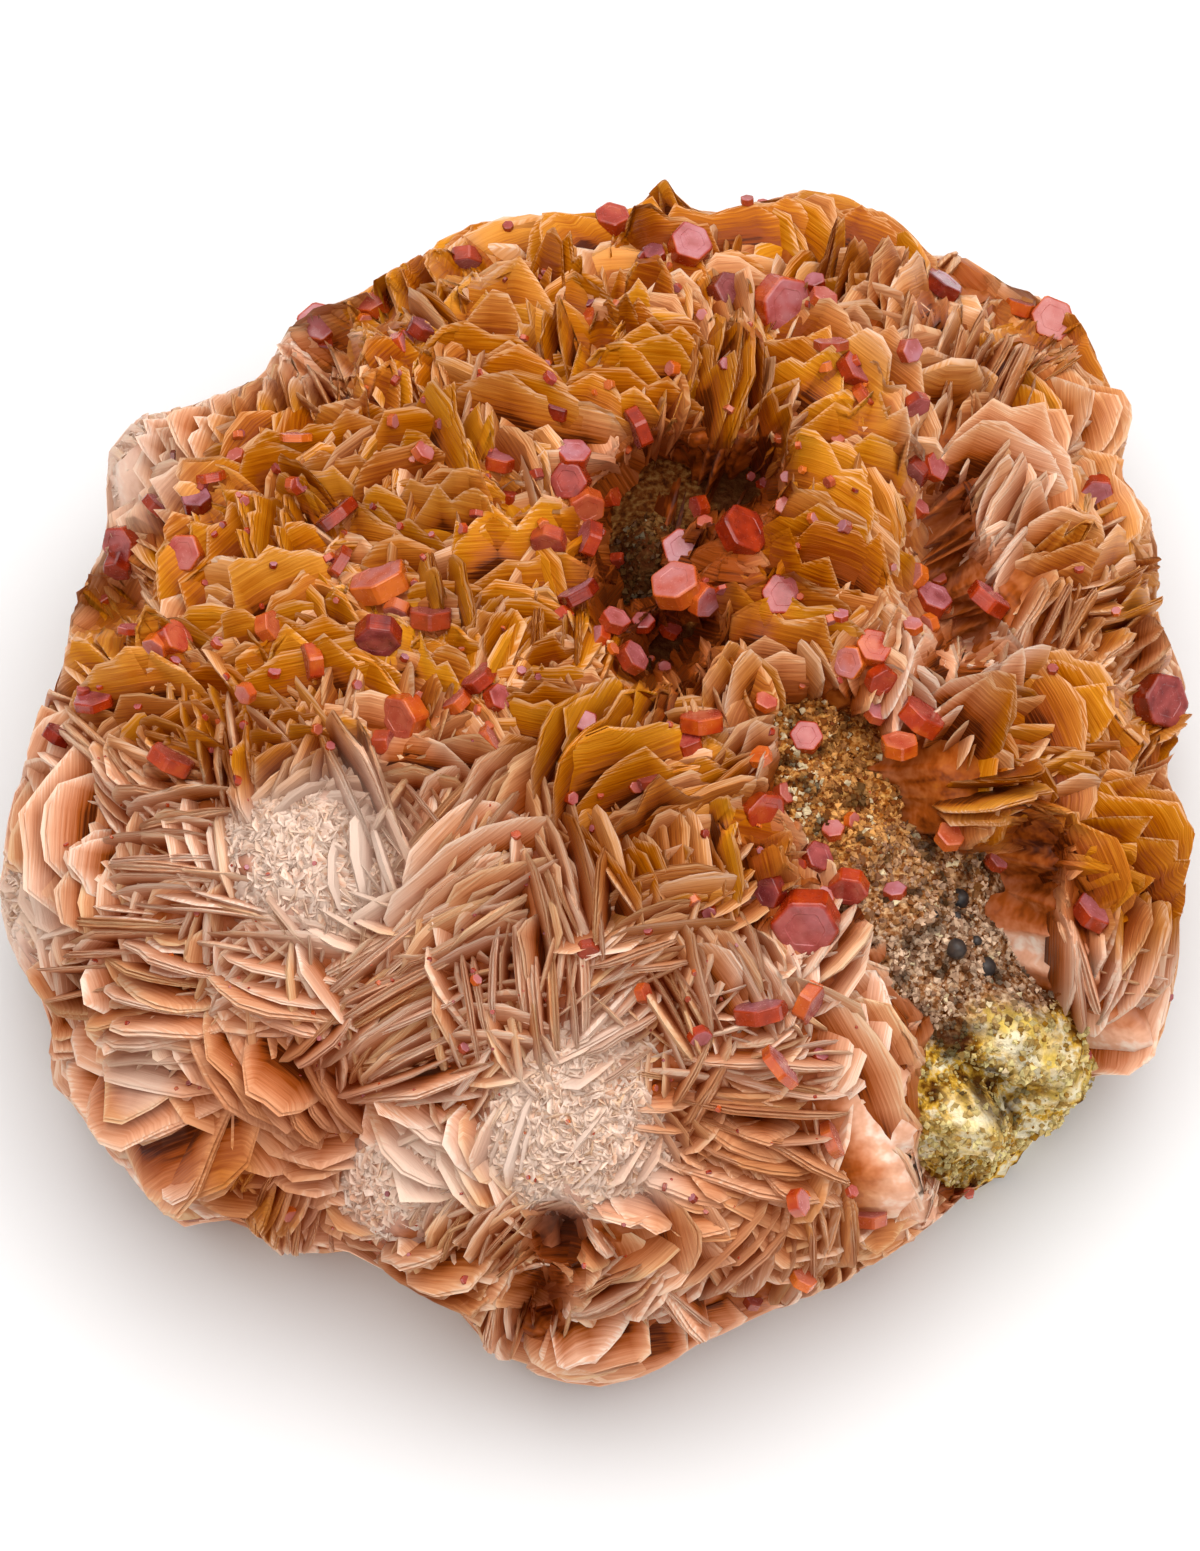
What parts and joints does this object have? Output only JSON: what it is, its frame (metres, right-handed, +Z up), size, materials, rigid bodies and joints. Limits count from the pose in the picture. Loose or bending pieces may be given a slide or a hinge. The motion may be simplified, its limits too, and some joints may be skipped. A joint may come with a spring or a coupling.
{
  "type": "vanadinite on barite mineral specimen",
  "caption": "Domed cluster of pale pink, ochre-edged barite blades on brown matrix rock, dotted with red hexagonal vanadinite crystals; rests on a flat cut base.",
  "frame": {"origin": "centre of the bounding box's footprint, on the flat cut base", "axes": "+Z up from the base; the show face looks forward (-Y) and up; +X to the viewer's right"},
  "size_m": [0.1005, 0.1107, 0.0495],
  "materials": {
    "barite": "waxy, translucent at the edges",
    "matrix": "rough, granular",
    "vanadinite": "glossy, translucent red"
  },
  "bodies": {
    "root": {"barite_blades": "barite", "matrix_rock": "matrix", "vanadinite_cluster_01": "vanadinite", "vanadinite_cluster_02": "vanadinite", "vanadinite_cluster_03": "vanadinite", "vanadinite_cluster_11": "vanadinite", "vanadinite_cluster_17": "vanadinite", "vanadinite_cluster_18": "vanadinite", "vanadinite_cluster_19": "vanadinite", "vanadinite_cluster_23": "vanadinite", "vanadinite_cluster_26": "vanadinite", "vanadinite_cluster_27": "vanadinite", "vanadinite_cluster_33": "vanadinite", "vanadinite_cluster_35": "vanadinite", "vanadinite_cluster_36": "vanadinite", "vanadinite_cluster_37": "vanadinite", "vanadinite_cluster_38": "vanadinite", "vanadinite_cluster_40": "vanadinite", "vanadinite_cluster_41": "vanadinite", "vanadinite_cluster_43": "vanadinite", "vanadinite_cluster_44": "vanadinite", "vanadinite_cluster_46": "vanadinite", "vanadinite_cluster_47": "vanadinite", "vanadinite_cluster_49": "vanadinite", "vanadinite_cluster_52": "vanadinite", "vanadinite_cluster_54": "vanadinite", "vanadinite_crystal_04": "vanadinite", "vanadinite_crystal_05": "vanadinite", "vanadinite_crystal_06": "vanadinite", "vanadinite_crystal_07": "vanadinite", "vanadinite_crystal_08": "vanadinite", "vanadinite_crystal_09": "vanadinite", "vanadinite_crystal_10": "vanadinite", "vanadinite_crystal_12": "vanadinite", "vanadinite_crystal_13": "vanadinite", "vanadinite_crystal_14": "vanadinite", "vanadinite_crystal_15": "vanadinite", "vanadinite_crystal_16": "vanadinite", "vanadinite_crystal_20": "vanadinite", "vanadinite_crystal_21": "vanadinite", "vanadinite_crystal_22": "vanadinite", "vanadinite_crystal_24": "vanadinite", "vanadinite_crystal_25": "vanadinite", "vanadinite_crystal_28": "vanadinite", "vanadinite_crystal_29": "vanadinite", "vanadinite_crystal_30": "vanadinite", "vanadinite_crystal_31": "vanadinite", "vanadinite_crystal_32": "vanadinite", "vanadinite_crystal_34": "vanadinite", "vanadinite_crystal_39": "vanadinite", "vanadinite_crystal_42": "vanadinite", "vanadinite_crystal_45": "vanadinite", "vanadinite_crystal_48": "vanadinite", "vanadinite_crystal_50": "vanadinite", "vanadinite_crystal_51": "vanadinite", "vanadinite_crystal_53": "vanadinite"}
  },
  "joints": []
}
